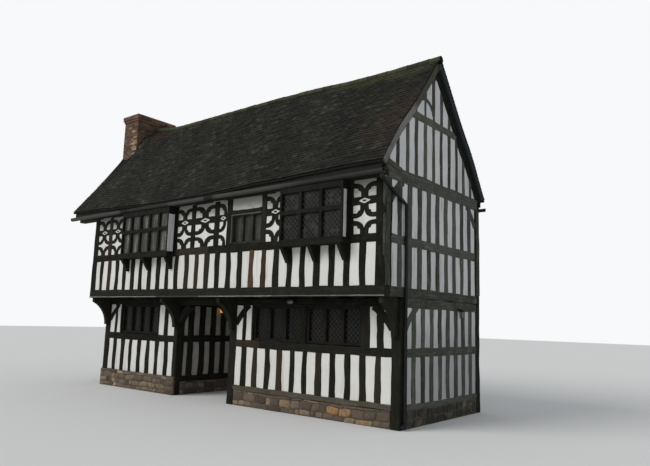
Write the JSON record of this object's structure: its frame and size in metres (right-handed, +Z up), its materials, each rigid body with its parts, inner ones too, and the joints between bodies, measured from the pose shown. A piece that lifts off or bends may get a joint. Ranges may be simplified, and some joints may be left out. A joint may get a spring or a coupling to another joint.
{
  "type": "half timbered house",
  "caption": "Two-storey close-studded timber house on a stone plinth, with a jettied upper storey, oriel windows, curved-rib star panels, a tiled roof and a cart passage",
  "frame": {"origin": "Middle of the whole outline in plan, at the ground under the stone plinths", "axes": "+X along the front towards the gable without the chimney, +Y from the jettied front to the rear, +Z up"},
  "size_m": [12.4464, 5.06, 9.2469],
  "materials": {
    "stone": "rough brown sandstone",
    "plaster": "limewash, weathered",
    "glass": "dark leaded glass",
    "clay_tile": "weathered clay, mossy at the ridge",
    "brick": "weathered red brick",
    "black_iron": "painted, dull",
    "grey_board": "weathered grey paint",
    "inner_oak": "bare oak",
    "dark_oak": "weathered black stain"
  },
  "bodies": {
    "root": {"left_plinth": "stone", "right_plinth": "stone", "left_front_frame": "dark_oak", "left_front_infill": "plaster", "right_front_frame": "dark_oak", "right_front_infill": "plaster", "left_rear_frame": "dark_oak", "left_rear_infill": "plaster", "right_rear_frame": "dark_oak", "right_rear_infill": "plaster", "left_passage_frame": "dark_oak", "left_passage_infill": "plaster", "right_passage_frame": "dark_oak", "right_passage_infill": "plaster", "passage_lintels": "dark_oak", "left_door": "inner_oak", "right_door": "inner_oak", "upper_floor": "inner_oak", "floor_joists": "inner_oak", "jetty_beam": "dark_oak", "jetty_brackets": "dark_oak", "upper_front_frame": "dark_oak", "star_frames": "dark_oak", "upper_front_infill": "plaster", "upper_rear_frame": "dark_oak", "upper_rear_infill": "plaster", "left_gable_frame": "dark_oak", "left_gable_infill": "plaster", "right_gable_frame": "dark_oak", "right_gable_infill": "plaster", "left_ground_window": "dark_oak", "right_ground_window": "dark_oak", "ground_glass": "glass", "left_oriel": "dark_oak", "right_oriel": "dark_oak", "middle_window": "dark_oak", "rear_windows": "dark_oak", "upper_glass": "glass", "roof_timbers": "inner_oak", "front_roof_slope": "clay_tile", "rear_roof_slope": "clay_tile", "ridge_tiles": "clay_tile", "left_bargeboards": "grey_board", "right_bargeboards": "grey_board", "eaves_boards": "grey_board", "gutters": "black_iron", "downpipe": "black_iron", "chimney": "brick", "lamps": "black_iron"}
  },
  "joints": []
}
